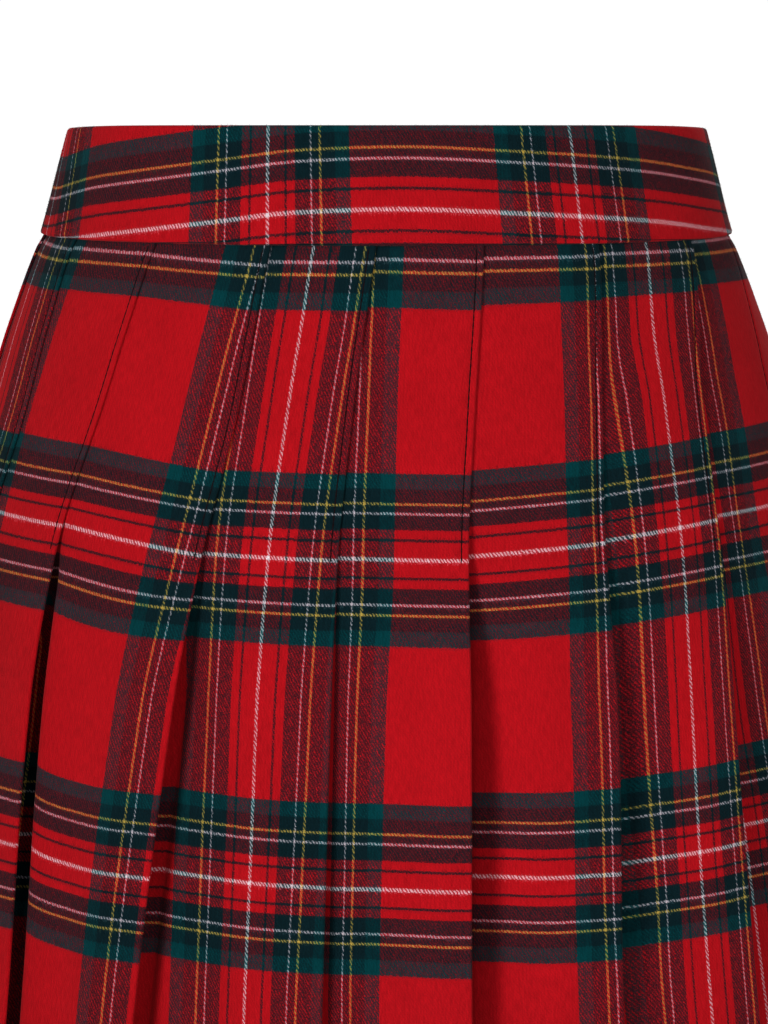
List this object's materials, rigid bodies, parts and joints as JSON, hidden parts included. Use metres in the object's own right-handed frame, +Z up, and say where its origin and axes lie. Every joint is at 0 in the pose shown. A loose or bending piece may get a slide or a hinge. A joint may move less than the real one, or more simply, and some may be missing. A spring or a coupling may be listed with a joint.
{
  "type": "pleated skirt",
  "caption": "Tartan skirt with knife pleats stitched down over the hips, a shaped waistband and a back zip.",
  "frame": {"origin": "middle of the waist opening, level with the waistband's top edge", "axes": "+Z up out of the waist, +X towards the wearer's left, the front towards -Y"},
  "size_m": [0.4558, 0.3278, 0.43],
  "materials": {
    "tartan_cloth": "brushed twill in a red, green and black check with white and yellow lines",
    "tartan_band": "the same brushed twill over a firm backing",
    "tape": "matt woven tape with a closed coil",
    "metal": "dark satin"
  },
  "bodies": {
    "skirt": {"front": "tartan_cloth", "back_left": "tartan_cloth", "back_right": "tartan_cloth", "waistband_front": "tartan_band", "waistband_back_left": "tartan_band", "waistband_back_right": "tartan_band", "zip_tape": "tape", "zip_slider": "metal"},
    "pull_tab": {"zip_pull_tab": "metal"}
  },
  "joints": [
    {"name": "pull_tab_hinge", "type": "hinge", "parent": "skirt", "child": "pull_tab", "pos_m": [0, 0.09969, -0.011], "axis": [1, 0, 0], "range_deg": [0, 160]}
  ]
}
